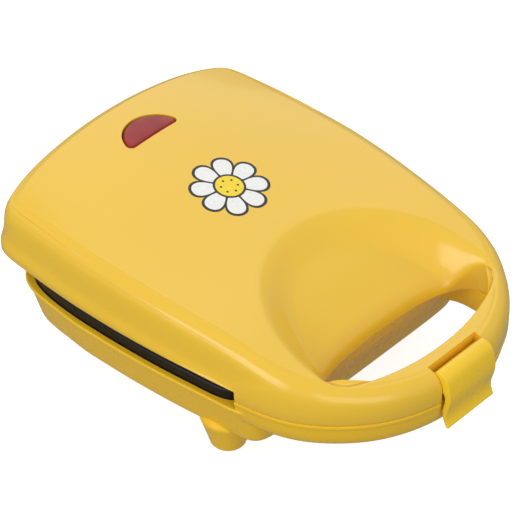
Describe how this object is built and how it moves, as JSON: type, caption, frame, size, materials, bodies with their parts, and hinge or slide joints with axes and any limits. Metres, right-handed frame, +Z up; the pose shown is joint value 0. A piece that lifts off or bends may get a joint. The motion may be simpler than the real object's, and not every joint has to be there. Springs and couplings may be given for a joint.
{
  "type": "egg bite maker",
  "caption": "Clam-shell egg bite maker with a hinged crowned lid, loop handle, front latch clip, red half-moon indicator lens and dark cup plates on stub feet.",
  "frame": {"origin": "middle of the bounding box on the table plane, under the feet", "axes": "+Z up, +Y towards the hinge at the back, -Y towards the handle and latch, x = 0 is the middle plane"},
  "size_m": [0.1404, 0.1949, 0.0732],
  "materials": {
    "yellow_shell": "smooth glossy injection moulding",
    "red_lens": "clear red plastic",
    "nonstick": "cast plate with dark non-stick coating",
    "bright_sheet": "bright rolled sheet",
    "steel": "plated steel",
    "element_sheath": "annealed sheath",
    "black_part": "moulded black",
    "white_part": "moulded white",
    "rubber": "soft rubber",
    "lead": "silicone sleeve",
    "lamp_glass": "small lamp"
  },
  "bodies": {
    "base": {"lower_shell": "yellow_shell", "lower_handle_cover": "yellow_shell", "lower_cover_screws": "steel", "lower_plate": "nonstick", "lower_plate_screws": "steel", "lower_element": "element_sheath", "lower_reflector": "bright_sheet", "thermostat": "black_part", "thermostat_bracket": "steel", "bracket_screws": "steel", "thermal_fuse": "white_part", "fuse_clip": "steel", "terminal_block": "white_part", "cord_bushing": "rubber", "base_wires": "lead", "hinge_pins": "steel", "rubber_feet": "rubber"},
    "lid": {"upper_shell": "yellow_shell", "upper_handle_cover": "yellow_shell", "upper_cover_screws": "steel", "upper_plate": "nonstick", "upper_plate_screws": "steel", "upper_spacers": "steel", "upper_element": "element_sheath", "upper_reflector": "bright_sheet", "indicator_lens": "red_lens", "lamp_holder": "white_part", "indicator_lamp": "lamp_glass", "lid_wires": "lead", "latch_pin": "steel"},
    "latch": {"latch": "yellow_shell"}
  },
  "joints": [
    {"name": "lid_hinge", "type": "hinge", "parent": "base", "child": "lid", "pos_m": [0, 0.0892, 0.038], "axis": [-1, 0, 0], "range_deg": [0, 100]},
    {"name": "latch_pivot", "type": "hinge", "parent": "lid", "child": "latch", "pos_m": [0, -0.0886, 0.0456], "axis": [-1, 0, 0], "range_deg": [0, 40]}
  ]
}
